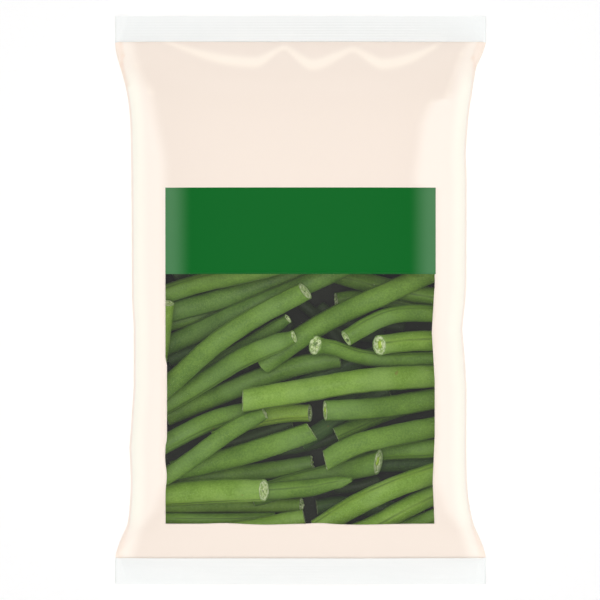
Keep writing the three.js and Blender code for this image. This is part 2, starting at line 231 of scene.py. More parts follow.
# How far the film's left and right sides draw in from their formula at rising heights, in millimetres.
LEFT_SIDE = (
    (-150, -131, -117, -109, -86, -65, -51, -15, 0, 85, 150),
    (0, 2.6, 1.0, 0.4, -1.3, 0, 1.0, 1.0, 0, -0.4, 0),
)
RIGHT_SIDE = (
    (-150, -131, -86, -51, -30, -17, -3, 8, 70, 85, 102, 120, 136, 150),
    (0, 2.6, 1.7, 1.4, 2.8, 4.0, 2.4, 1.6, 1.4, 2.1, 1.4, 0.9, 2.6, 0),
)

# How far from the middle the paler film of painted sheen begins on each side, at rising heights, in
# millimetres. The back takes the left table on both sides.
LEFT_PALE = (
    (-150, -134, -122, -105, 75, 85, 102, 121, 136, 150),
    (99, 94, 85, 79, 79, 80, 84, 88, 96, 99),
)
RIGHT_PALE = (
    (-150, -134, -122, -105, 65, 66, 73, 102, 110, 115, 117, 122, 136, 150),
    (99, 94, 85, 79, 79, 67, 67, 71, 74, 77, 86, 88, 92, 99),
)

# Three slack swags of film that hang from the top seal: the places of the left end, lowest point and right
# end, and their heights, in millimetres.
SWAGS = (
    ((-80.0, -27.0, -9.6), (151.5, 138.0, 147.0)),
    ((-9.6, 7.0, 30.6), (147.0, 136.6, 145.8)),
    ((30.6, 48.0, 84.0), (145.8, 137.2, 151.5)),
)


def swag_height(x):
    """Height of the swags' line over x.

    Each swag rises from its lowest point, by power 1.8 to the seal or by a smooth step to a peak beside it.
    """
    line = np.full_like(x, 0.1530)
    for (left, low, right), (high_left, lowest, high_right) in SWAGS:
        side = np.where(x < low * MM, (left - low) * MM, (right - low) * MM)
        top = np.where(x < low * MM, high_left, high_right) * MM
        share = np.clip((x - low * MM) / side, 0, 1)
        rise = np.where(top > 0.15, share**1.8, 0.35 * share**1.8 + 0.65 * ease(share, 0, 1))
        curve = lowest * MM + (top - lowest * MM) * rise
        line = np.where((x >= left * MM) & (x <= right * MM), curve, line)
    return line


def swag_crest(x, y):
    """How far a point lies on a swag's crest, 0 to 1: a bell across its line, widest where it hangs low."""
    line = swag_height(x)
    low = ease(0.149 - line, 0, 0.011)
    return bump(y, line, (1.9 + 1.7 * low) * MM) * (0.7 + 0.3 * low) * ease(0.0845 - np.abs(x), 0, 0.006)


def front_folds(x, y):
    """Height of the folds over the front, and the painted light on them.

    The height is a bell across each fold line and each swag, and slow dents behind the seals. A ridge takes
    painted highlight by its share of the height, and a groove painted shade.
    """
    crest = swag_crest(x, y)
    height = 1.0 * MM * crest
    height -= 0.35 * MM * bump(y, swag_height(x) + 3.6 * MM, 2.6 * MM) * ease(0.0845 - np.abs(x), 0, 0.006)
    # Swag crests take painted highlight; each fold line takes painted highlight or shade by its height's
    # sign.
    pale = crest
    for start, end, width, rise in FOLDS:
        (ax, ay), (bx, by) = np.array(start) * MM, np.array(end) * MM
        run, climb = bx - ax, by - ay
        along = np.clip(((x - ax) * run + (y - ay) * climb) / (run**2 + climb**2), 0, 1)
        away = np.hypot(x - ax - along * run, y - ay - along * climb)
        line = bump(away, 0, width * MM)
        height = height + rise * MM * line
        pale = pale + 0.4 * rise * line
    dents = np.sin(x * 118 + 1.1 * np.sin(y * 31)) * np.cos(y * 47 + 0.8)
    ends = bump(np.abs(y), 0.138, 0.010)
    slow = 0.35 * MM * dents * ends + 0.25 * MM * np.sin(x * 61 + 2) * np.sin(y * 43 + 1)
    return height + slow, np.clip(pale, -1, 1)


def by_side(x, y, left, right):
    """Looks a height up in the left or right table, which is straight from entry to entry. In metres."""
    return np.where(x < 0, np.interp(y / MM, *left), np.interp(y / MM, *right)) * MM


def film_reach(bag, x, y):
    """How far the film reaches on the side that x is on: the half width, less what the side draws in."""
    return half_width(bag, y) - by_side(x, y, LEFT_SIDE, RIGHT_SIDE)


def side_tints(bag, x, y, right_pale):
    """How much a point has of the painted sheen on the pale side, of the painted ivory highlight near its
    edge and of the rosier rim of painted shade along the edge, each 0 to 1.

    Each is a smooth step in the distance from the painted sheen's start or from the film's edge.
    """
    pale = ease(np.abs(x) - by_side(x, y, LEFT_PALE, right_pale), -5 * MM, 4 * MM)
    to_edge = film_reach(bag, x, y) - np.abs(x)
    rim = (1.1 + 3.0 * ease(np.abs(y), 0.125, 0.150)) * MM
    gleam = ease(to_edge, 0.8 * rim, 1.5 * rim) * (1 - ease(to_edge, rim + 3 * MM, rim + 10 * MM))
    gleam = gleam * (1 - 0.9 * ease(np.abs(y), 0.120, 0.140))
    return np.stack([pale, gleam, 1 - ease(to_edge, 0.7 * rim, 1.2 * rim)], axis=-1)


def window_side(layout, side, y):
    """The window's left or right edge over y: a straight line with the stretched print's shallow kinks."""
    if side < 0:
        kinks = 0.9 * MM * (ease(-y, 0.033, 0.038) - ease(-y, 0.080, 0.085))
        kinks += 0.8 * MM * bump(y, -0.102, 0.006) - 0.2 * MM * bump(y, -0.092, 0.004)
        return layout.window_left + kinks
    kinks = -1.7 * MM * np.maximum(0, 1 - np.abs(y + 0.0184) / 0.028)
    kinks -= 1.2 * MM * np.maximum(0, 1 - np.abs(y + 0.1052) / 0.026)
    return layout.window_right + kinks


def window_foot(x):
    """The window's lower edge over x, from its level: low waves where the print has shrunk."""
    wave = 0.45 * MM * bump(x, -0.044, 0.009) - 0.5 * MM * bump(x, -0.020, 0.012)
    return wave + 0.55 * MM * bump(x, 0.0107, 0.007) - 0.5 * MM * bump(x, 0.036, 0.016)


def sleeve_grid(bag, layout):
    """Points of the whole sleeve, row by row from the bottom seal to the top one, each once around the bag.

    A row runs over the front from left to right and back under the bag. The window's edges fall on columns
    and rows, so both are bent to follow them. Returns the points, which faces lie in the window, the painted
    highlight and shade of the folds, and the sides' tints of painted light.
    """
    low, high = layout.window_low, layout.window_high
    # The rows lie closer together towards the seals, and the columns towards the sides.
    foot = -bag.body_half + (low + bag.body_half) * (1 - (1 - np.linspace(0, 1, 17)) ** 1.15)
    pane = np.linspace(low, high, 61)
    head = high + (bag.body_half - high) * (1 - (1 - np.linspace(0, 1, 84)) ** 1.25)
    level = np.concatenate([foot, pane[1:], head[1:]])
    first_pane, last_pane = len(foot) - 1, len(foot) + len(pane) - 2
    side_steps, pane_steps, back_steps = 20, 78, 84

    across = np.linspace(0, 1, pane_steps + 1)
    span = layout.window_left + across * (layout.window_right - layout.window_left)
    fade = bump(level, low, 0.012)
    pane_y = level[:, None] + window_foot(span)[None, :] * fade[:, None]
    left, right = window_side(layout, -1, pane_y), window_side(layout, 1, pane_y)
    pane_x = left + across * (right - left)

    side_y = np.repeat(level[:, None], side_steps, axis=1)
    inward = np.linspace(0, 1, side_steps + 1)[:-1] ** 2.4
    left_width, right_width = film_reach(bag, -1, side_y), film_reach(bag, 1, side_y)
    left_x = -left_width + (pane_x[:, :1] + left_width) * inward
    right_x = right_width - (right_width - pane_x[:, -1:]) * inward[::-1]

    front_x = np.concatenate([left_x, pane_x, right_x], axis=1)
    front_y = np.concatenate([side_y, pane_y, side_y], axis=1)
    share = np.clip(front_x / film_reach(bag, front_x, front_y), -1, 1)
    height = front_z(bag, share, front_y)
    hold = np.minimum(1, (1 - np.abs(share)) / 0.02) * ease(bag.body_half - np.abs(front_y), 0, 0.003)
    relief, pale = front_folds(front_x, front_y)
    height += relief * hold
    front = np.stack([front_x, front_y, height], axis=2)

    turn = np.linspace(0, np.pi, back_steps + 1)[1:-1]
    back_share = np.sign(np.cos(turn)) * np.abs(np.cos(turn)) ** 0.8
    back_y = np.repeat(level[:, None], len(turn), axis=1)
    back_x = back_share[None, :] * film_reach(bag, back_share[None, :], back_y)
    # A step on either side of the seam's lap lifts the film between them.
    channel = ease(back_x, -0.0022, -0.0012) * ease(-back_x, -0.0147, -0.0137)
    back_height = back_z(bag, np.repeat(back_share[None, :], len(level), axis=0), back_y)
    back_height = back_height + channel * SEAM_LIFT * swell(bag, back_y)
    back = np.stack([back_x, back_y, back_height], axis=2)

    points = np.concatenate([front, back], axis=1)
    rows, columns = points.shape[:2]
    in_window = np.zeros((rows - 1, columns), dtype=bool)
    in_window[first_pane:last_pane, side_steps : side_steps + pane_steps] = True
    folds = np.concatenate([pale, np.zeros_like(back_height)], axis=1)
    front_tints = side_tints(bag, front_x, front_y, RIGHT_PALE)
    tints = np.concatenate([front_tints, side_tints(bag, back_x, back_y, LEFT_PALE)], axis=1)
    return points, in_window, folds, tints


def grid_quads(rows, columns, closed):
    """Corner numbers of a grid's faces, with the last column joined to the first where it is closed."""
    span = columns if closed else columns - 1
    low = np.arange(rows - 1)[:, None] * columns + np.arange(span)[None, :]
    side = np.arange(rows - 1)[:, None] * columns + (np.arange(span)[None, :] + 1) % columns
    return np.stack([low, side, side + columns, low + columns], axis=2)


def used_only(points, faces, *values):
    """Drops the points that no face uses and renumbers the faces."""
    used, numbers = np.unique(faces, return_inverse=True)
    return (points[used], numbers.reshape(faces.shape), *[value[used] for value in values])


def make_piece(name, points, faces, materials, choice=None):
    """Makes a smooth mesh and puts it on the bag's body. A face has four corners, or three and then a -1."""
    corners = faces[faces >= 0]
    starts = np.concatenate([[0], np.cumsum((faces >= 0).sum(axis=1))[:-1]])
    mesh = bpy.data.meshes.new(name)
    mesh.vertices.add(len(points))
    mesh.vertices.foreach_set("co", np.ascontiguousarray(points, dtype=np.float32).ravel())
    mesh.loops.add(len(corners))
    mesh.loops.foreach_set("vertex_index", corners.astype(np.int32))
    mesh.polygons.add(len(faces))
    mesh.polygons.foreach_set("loop_start", starts.astype(np.int32))
    for material in materials:
        mesh.materials.append(material)
    if choice is not None:
        mesh.polygons.foreach_set("material_index", choice.astype(np.int32))
    mesh.polygons.foreach_set("use_smooth", np.ones(len(faces), dtype=bool))
    mesh.update(calc_edges=True)
    mesh.validate()
    piece = bpy.data.objects.new(name, mesh)
    bpy.context.scene.collection.objects.link(piece)
    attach(piece, "root")
    return piece


def thicken(piece, thickness, inner_material=0):
    """Gives a surface a wall that grows inwards, and closes its rims."""
    wall = piece.modifiers.new("Film wall", "SOLIDIFY")
    wall.thickness = thickness
    wall.offset = -1
    wall.use_rim = True
    wall.material_offset = inner_material


# Settings that many nodes share: a map by a smooth step, and a mix of colours. Such a mix takes its share
# at input 0 and its colours at 6 and 7, and gives its result at output 2.
SMOOTH = {"interpolation_type": "SMOOTHSTEP"}
COLOURS = {"data_type": "RGBA"}


def add(material, kind, inputs=(), **settings):
    """Adds a node with its settings, sets or links its inputs by name or number, and gives its outputs."""
    node = material.node_tree.nodes.new("ShaderNode" + kind)
    for name, value in settings.items():
        setattr(node, name, value)
    for name, value in inputs.items() if isinstance(inputs, dict) else enumerate(inputs):
        if isinstance(value, bpy.types.NodeSocket):
            material.node_tree.links.new(value, node.inputs[name])
        else:
            node.inputs[name].default_value = value
    return node.outputs


def new_material(name):
    """An empty node material."""
    material = bpy.data.materials.new(name)
    material.use_nodes = True
    material.node_tree.nodes.clear()
    return material


def printed_film(layout):
    """Surface-printed polyethylene film: satin ink, which the eye sees as soft broad gleams.

    It ripples in waves of about 12 mm. The folds carry painted highlight and shade, and the sides painted
    sheen where they curve off.
    """
    material = new_material("printed polyethylene film")
    place = add(material, "TexCoord")["Object"]
    x, y, z = add(material, "SeparateXYZ", [place])
    # Side tints, all painted light: sheen on the pale sides, an ivory highlight by the edges, shade on the
    # rim.
    side_tint = add(material, "Attribute", attribute_name="side_tint")["Vector"]
    pale, gleam, painted_edge_shade = add(material, "SeparateXYZ", [side_tint])
    rim = add(material, "Math", [painted_edge_shade, 0.8], operation="MULTIPLY")[0]
    # The fold attribute carries painted highlight on ridges and swag crests, and painted shade in grooves.
    fold = add(material, "Attribute", attribute_name="fold")["Fac"]
    ridge = add(material, "MapRange", [fold, 0.0, 1.0, 0.0, 0.75], **SMOOTH)[0]
    groove = add(material, "MapRange", [fold, 0.0, -0.5, 0.0, 0.6], **SMOOTH)[0]
    cream = tuple(layout.cream)
    tints = (
        (pale, tuple(layout.cream_side)),
        (gleam, linear("FFFBEE")),
        (rim, linear("FBEADC")),
        (ridge, linear("FFF3E5")),
        (groove, linear("F6DFCD")),
    )
    for share, tint in tints:
        cream = add(material, "Mix", {0: share, 6: cream, 7: tint}, **COLOURS)[2]

    # The band fills the window's width above it, on the front only, and has a painted sheen towards its two
    # ends.
    middle = (layout.window_high + layout.band_high) / 2
    half = (layout.band_high - layout.window_high) / 2
    front_level = 0.024
    in_rows = add(material, "Math", [y, middle, half], operation="COMPARE")[0]
    in_columns = add(material, "Math", [x, 0.0, -layout.window_left], operation="COMPARE")[0]
    on_front = add(material, "Math", [z, front_level], operation="GREATER_THAN")[0]
    in_band = add(material, "Math", [in_rows, in_columns], operation="MULTIPLY")[0]
    in_band = add(material, "Math", [in_band, on_front], operation="MULTIPLY")[0]
    side = add(material, "Math", [x], operation="ABSOLUTE")[0]
    sheen = add(material, "MapRange", [side, 0.0625, 0.0755, 0.0, 0.24], **SMOOTH)[0]
    green = add(material, "Mix", {0: sheen, 6: tuple(layout.band), 7: linear("8FB894")}, **COLOURS)[2]
    colour = add(material, "Mix", {0: in_band, 6: cream, 7: green}, **COLOURS)[2]
    ripple = add(material, "TexNoise", {"Vector": place, "Scale": 1 / (11.76 * MM), "Detail": 3.0})[0]
    relief = add(material, "Bump", {"Strength": 0.12, "Distance": 0.4 * MM, "Height": ripple})[0]
    ink = {"Base Color": colour, "Roughness": 0.34, "Normal": relief, "IOR": 1.51, "Specular IOR Level": 0.22}
    add(material, "OutputMaterial", {"Surface": add(material, "BsdfPrincipled", ink)[0]})
    return material


def film_inside_painted_shade(layout):
    """The inner face of the printed film, seen only through the window: painted shade, a matt dark olive
    clouded over about 17 mm.
    """
    material = new_material("film inside painted as shade")
    place = add(material, "TexCoord")["Object"]
    cloud = add(material, "TexNoise", {"Vector": place, "Scale": 1 / (16.67 * MM), "Detail": 2.0})[0]
    colour = add(material, "Mix", {0: cloud, 6: tuple(layout.inside), 7: linear("3A3D33")}, **COLOURS)[2]
    ink = {"Base Color": colour, "Roughness": 0.6, "IOR": 1.5}
    add(material, "OutputMaterial", {"Surface": add(material, "BsdfPrincipled", ink)[0]})
    return material


def clear_film():
    """Unprinted polyethylene film: clear and glossy, with a trace of haze."""
    material = new_material("clear polyethylene film")
    film = {"Base Color": linear("FFFFFF"), "Roughness": 0.08, "Alpha": 0.012, "IOR": 1.51}
    add(material, "OutputMaterial", {"Surface": add(material, "BsdfPrincipled", film)[0]})
    return material


def sealed_film(name, alpha):
    """Two layers of film welded by a hot jaw: milky, satin from the jaw's fine ribs, clouded over 25 mm."""
    material = new_material(name)
    place = add(material, "TexCoord")["Object"]
    cloud = add(material, "TexNoise", {"Vector": place, "Scale": 1 / (25 * MM), "Detail": 2.0})[0]
    colour = add(material, "Mix", {0: cloud, 6: linear("F9FCFB"), 7: linear("FEFFFE")}, **COLOURS)[2]
    film = {"Base Color": colour, "Roughness": 0.32, "Alpha": alpha, "IOR": 1.51}
    add(material, "OutputMaterial", {"Surface": add(material, "BsdfPrincipled", film)[0]})
    return material


def bean_skin(name, bright, deep, seam, waxy):
    """Skin of a fresh snap bean: satin with wax, mottled, with fibres along it and a suture on two sides.

    Its grain is about 1 mm, drawn coarser than the real one so that it shows. Patches of tone are 13 mm
    long, of bloom 26 mm, and there is a scar or a pale scratch here and there.
    """
    material = new_material(name)
    coordinates = add(material, "TexCoord")
    place = coordinates["Object"]
    patch, mottle, bloom, scar = [
        add(material, "TexNoise", {"Vector": place, "Scale": 1 / (size * MM), "Detail": detail})[0]
        for size, detail in ((13.33, 3.0), (1.111, 3.0), (26.32, 2.0), (7.692, 4.0))
    ]
    u, v = add(material, "SeparateXYZ", [coordinates["UV"]])[:2]
    fibres_around = 30.0
    around = add(material, "Math", [u, fibres_around], operation="MULTIPLY")[0]
    stretched = add(material, "CombineXYZ", [around, v])[0]
    fibre = add(material, "TexNoise", {"Vector": stretched, "Scale": 1.0, "Detail": 3.0})[0]
    patches = add(material, "MapRange", [patch, 0.3, 0.7, 0.05, 0.6], **SMOOTH)[0]
    grain = add(material, "MapRange", [mottle, 0.36, 0.64, -0.2, 0.28], **SMOOTH)[0]
    tone = add(material, "Math", [fibre, 0.25, patches], operation="MULTIPLY_ADD")[0]
    tone = add(material, "Math", [tone, grain], operation="ADD")[0]

    # The map puts the sutures at a quarter and at three quarters of the way around.
    gaps = []
    for suture in (0.25, 0.75):
        off = add(material, "Math", [u, suture], operation="SUBTRACT")[0]
        gaps.append(add(material, "Math", [off], operation="ABSOLUTE")[0])
    gap = add(material, "Math", gaps, operation="MINIMUM")[0]
    beside = add(material, "Math", [fibre, 0.012, gap], operation="MULTIPLY_ADD")[0]
    broken = add(material, "MapRange", [patch, 0.35, 0.6, 0.25, 0.6], **SMOOTH)[0]
    colour = add(material, "Mix", {0: tone, 6: linear(deep), 7: linear(bright)}, **COLOURS)[2]
    # The dark line along a suture is partly its own darker string and partly painted shade in its groove.
    tints = (
        (linear(waxy), 1.0, [bloom, 0.42, 0.68, 0.0, 0.32]),
        (linear(seam), 1.0, [beside, 0.018, 0.075, 0.28, 0.0]),
        (linear("3B5A1C"), broken, [beside, 0.006, 0.034, 1.0, 0.0]),
        (linear("857231"), 1.0, [scar, 0.73, 0.78, 0.0, 0.6]),
        (linear("B9D48A"), 1.0, [scar, 0.24, 0.20, 0.0, 0.5]),
    )
    for tint, strength, step in tints:
        share = add(material, "MapRange", step, **SMOOTH)[0]
        share = add(material, "Math", [share, strength], operation="MULTIPLY")[0]
        colour = add(material, "Mix", {0: share, 6: colour, 7: tint}, **COLOURS)[2]
    relief = add(material, "Bump", {"Strength": 0.2, "Distance": 0.1 * MM, "Height": mottle})[0]
    gloss = add(material, "MapRange", [patch, 0.3, 0.7, 0.48, 0.60], **SMOOTH)[0]
    wax = {"Base Color": colour, "Roughness": gloss, "Normal": relief, "IOR": 1.45, "Specular IOR Level": 0.5}
    add(material, "OutputMaterial", {"Surface": add(material, "BsdfPrincipled", wax)[0]})
    return material


def bean_skins():
    """The beans' skins, made once: each has a bright and a deep green, a tint beside its suture, a bloom. The
    skins are lighter and darker copies, partly the beans' own tones and partly painted light and shade.
    """
    colours = {
        "painted_lit": ("A6CE48", "88AE36", "AAC634", "A2C062"),
        "fresh": ("8AB040", "6E9527", "8CAC2C", "86A65C"),
        "cool": ("749A32", "577C23", "759A26", "6E9050"),
        "deep": ("6A8E34", "4B6F21", "6A8E26", "62844A"),
        "shaded": ("4A6B2A", "34501C", "527024", "45613A"),
        "painted_shade": ("3C5224", "2B3C18", "425520", "384A2B"),
    }
    made = {}
    for kind, codes in colours.items():
        name = kind + " bean skin"
        made[kind] = bpy.data.materials.get(name) or bean_skin(name, *codes)
    return made


def bean_flesh(name, look, hole, middle):
    """Wet cut flesh of a bean: pale and glossy, in flecks of about 2 mm, inside a green rim.

    The middle has a darker colour out to the share of the radius given as the hole: partly the pith's own
    tone and partly painted shade in the sunken middle. A seed's middle is the seed's own colour.
    """
    material = new_material(name)
    coordinates = add(material, "TexCoord")
    out = add(material, "SeparateXYZ", [coordinates["UV"]])[0]
    spots = {"Vector": coordinates["Object"], "Scale": 1 / (1.923 * MM), "Detail": 3.0}
    fleck = add(material, "TexNoise", spots)[0]
    inner = add(material, "Math", [out, 0.25], operation="SUBTRACT")[0]
    ragged = add(material, "Math", [fleck, 0.5, inner], operation="MULTIPLY_ADD")[0]
    share = add(material, "MapRange", [fleck, 0.41, 0.59], **SMOOTH)[0]
    colour = add(material, "Mix", {0: share, 6: linear("AAC872"), 7: tuple(look.flesh)}, **COLOURS)[2]
    tints = (
        (middle, [ragged, hole - 0.05, hole + 0.07, 1.0, 0.0]),
        (linear("F4FBD6"), [ragged, 0.64, 0.80, 0.0, 0.55]),
        (linear("84AA4E"), [ragged, 0.80, 0.94, 0.0, 0.9]),
    )
    for tint, step in tints:
        share = add(material, "MapRange", step, **SMOOTH)[0]
        colour = add(material, "Mix", {0: share, 6: colour, 7: tint}, **COLOURS)[2]
    relief = add(material, "Bump", {"Strength": 0.5, "Distance": 0.4 * MM, "Height": fleck})[0]
    flesh = {"Base Color": colour, "Roughness": 0.33, "Normal": relief, "IOR": 1.38}
    add(material, "OutputMaterial", {"Surface": add(material, "BsdfPrincipled", flesh)[0]})
    return material


def pod_line(node, sides=8):
    """Centre line and radii of a bean's solid, from left to right.

    The solid is a row of rings of eight points. Sorted along their longest direction the points fall into
    those rings again, and each ring gives its middle and its mean radius.
    """
    points = np.empty(len(node.data.vertices) * 3)
    node.data.vertices.foreach_get("co", points)
    points = np.unique(points.reshape(-1, 3).round(7), axis=0)
    middle = points.mean(axis=0)
    longest = np.linalg.svd(points - middle, full_matrices=False)[2][0]
    if longest[0] < 0:
        longest = -longest
    rings = points[np.argsort((points - middle) @ longest)].reshape(-1, sides, 3)
    centres = rings.mean(axis=1)
    return centres, np.linalg.norm(rings - centres[:, None], axis=2).mean(axis=1)


def smooth_line(points, values, where):
    """A curve through the points, as cubic pieces whose slopes are the points' own mean slopes."""
    steps = np.linalg.norm(np.diff(points, axis=0), axis=1)
    at = np.concatenate([[0], np.cumsum(steps)])
    slopes = np.gradient(points, at, axis=0)
    piece = np.clip(np.searchsorted(at, where, side="right") - 1, 0, len(at) - 2)
    size = (at[piece + 1] - at[piece])[:, None]
    t = (where[:, None] - at[piece][:, None]) / size
    line = (2 * t**3 - 3 * t**2 + 1) * points[piece] + (t**3 - 2 * t**2 + t) * size * slopes[piece]
    line += (3 * t**2 - 2 * t**3) * points[piece + 1] + (t**3 - t**2) * size * slopes[piece + 1]
    return line, np.interp(where, at, values)


# How some snipped ends are finished, by the bean's number and its end, 0 for left and 1 for right: how far
# the cut face leans back to be seen from above, how far it slants across the bean, both in degrees, and
# what its middle shows. The other ends take the plain cut.
CUTS = {
    (1, 0): (3, 10, "solid"),
    (2, 1): (21, 8, "solid"),
    (3, 0): (38, 0, "seed"),
    (4, 0): (18, 0, "hollow"),
    (5, 0): (3, 17, "solid"),
    (6, 0): (13, 0, "seed"),
    (7, 1): (14, 0, "solid"),
    (8, 1): (26, 0, "solid"),
    (10, 1): (3, 14, "solid"),
    (11, 1): (19, 0, "solid"),
    (13, 0): (34, 0, "torn"),
    (14, 0): (-20, 0, "solid"),
    (15, 1): (22, 0, "solid"),
    (18, 1): (15, 0, "hollow"),
    (19, 1): (24, -23, "seed"),
    (20, 1): (9, 0, "torn"),
    (21, 1): (3, 0, "solid"),
    (23, 1): (20, 0, "torn"),
    (29, 1): (22, 0, "hollow"),
    (30, 0): (3, 0, "solid"),
    (31, 0): (-10, 0, "solid"),
    (34, 0): (14, 0, "hollow"),
}
PLAIN_CUT = (4, 0, "solid")

# Share by which a bean flares at an end, and over which length: at its stem, or where it was squeezed.
FLARES = {
    (1, 0): (0.06, 0.010),
    (3, 0): (0.08, 0.006),
    (7, 1): (-0.25, 0.009),
    (11, 1): (-0.3, 0.010),
    (13, 0): (0.30, 0.006),
    (19, 1): (0.16, 0.020),
    (29, 1): (-0.25, 0.010),
}

# Where a bean's suture shows, from -1 for its lower silhouette to 1 for its upper one.
SUTURES = {
    1: -0.97, 2: 0.93, 3: 0.15, 4: 0.55, 5: -0.96, 6: -0.97, 7: 0.92, 8: -0.80, 9: 0.62, 10: 0.96,
    11: -0.80, 12: 0.15, 13: 0.60, 14: 0.96, 16: 0.95, 17: -0.55, 18: -0.50, 19: 0.85, 20: -0.92, 21: -0.75,
    22: 0.10, 23: -0.92, 24: -0.10, 25: 0.60, 26: 0.92, 27: -0.95, 28: 0.92, 29: 0.70, 30: -0.30, 31: 0.10,
    33: -0.10, 34: -0.10,
}

# Which skin each bean has, where it isn't the fresh one. The skins are partly the beans' own tones and
# partly painted light and shade: the brightest is painted light for a bean lying in shade, and the deep,
# shaded and darkest ones are painted shade for beans lying lower among the others.
SKINS = {
    "painted_lit": (18,),
    "cool": (2, 4, 5, 6, 7, 10, 11, 12, 13, 14, 16, 17, 19, 20, 22, 25, 28, 30, 32, 33, 34, 35),
    "deep": (26, 27, 29),
    "shaded": (31, 36, 37, 39, 40, 41),
    "painted_shade": (38,),
}

# What the middle of a cut face is like: the share of the radius that sinks, how far it sinks and how rough
# the face is, both in millimetres.
MIDDLES = {
    "solid": (0.16, 0.6, 0.15),
    "hollow": (0.46, 1.6, 0.15),
    "seed": (0.42, 1.2, 0.15),
    "torn": (0.30, 1.0, 0.5),
}


def cut_rings(centre, axes, reach, outline, turn, lean, slant, kind, draw):
    """The rings of a cut face, from its rim inwards, and the share of the radius that each has.

    Each ring is the section's outline at a smaller share. The smaller the share, the more the ring is
    drawn out into an oval, waved and moved off the middle. The face is uneven by small waves, sinks into a
    hollow in the middle, and a seed bulges out of that as part of a ball.
    """
    ahead, across, above = axes
    share = np.array([0.985, 0.94, 0.86, 0.77, 0.68, 0.59, 0.51, 0.44, 0.37, 0.30, 0.23, 0.16, 0.08, 0])
    share = share[:, None]
    phase = draw.uniform(0, 2 * np.pi, 5)
    inner = 1 - share
    drawn = 1 + inner * (0.24 * np.cos(2 * turn + phase[0]) + 0.09 * np.sin(3 * turn + phase[1]))
    radius = reach * share * outline * drawn
    x = radius * np.cos(turn) + reach * 0.12 * inner * np.cos(phase[2])
    z = radius * np.sin(turn) + reach * 0.12 * inner * np.sin(phase[2])
    hole, sink, rough = MIDDLES[kind]
    waves = np.sin(4 * turn + phase[3]) * np.sin(9 * share + phase[4]) + 0.6 * np.sin(7 * turn + phase[1])
    depth = rough * MM * (1 - ease(share, 0.93, 0.99)) * ease(share, 0, 0.3) * waves
    depth = depth + sink * MM * (1 - ease(share, hole - 0.12, hole + 0.04))
    if kind == "seed":
        depth = depth - 1.7 * MM * dome(share / 0.36, 2.0)
    shift = lean * z + slant * x - depth
    rings = centre + across * x[..., None] + above * z[..., None] + ahead * shift[..., None]
    return rings[:-1], share[:-1, 0], rings[-1, 0]


def pod_faces(sides, left, body, right):
    """Faces of a pod: four-sided ones from ring to ring, and a fan around the middle of each cut face.

    It takes the numbers of rings in the left cut face, the body and the right cut face. It returns the
    faces and where each lies: 0 on the skin, 1 on the left cut face, 2 on the right one.
    """
    rings = left + body + right
    grid = grid_quads(rings, sides, True)[..., ::-1].reshape(-1, 4)
    side = np.arange(sides)
    after = (side + 1) % sides
    ones = np.ones(sides, dtype=int)
    left_centre, right_centre = rings * sides, rings * sides + 1
    last_ring = (rings - 1) * sides
    left_fan = np.stack([side, after, left_centre * ones, -ones], axis=1)
    right_fan = np.stack([after + last_ring, side + last_ring, right_centre * ones, -ones], axis=1)
    ring = np.repeat(np.arange(rings - 1), sides)
    place = np.where(ring < left, 1, np.where(ring >= left + body - 1, 2, 0))
    return np.concatenate([grid, left_fan, right_fan]), np.concatenate([place, ones, 2 * ones])


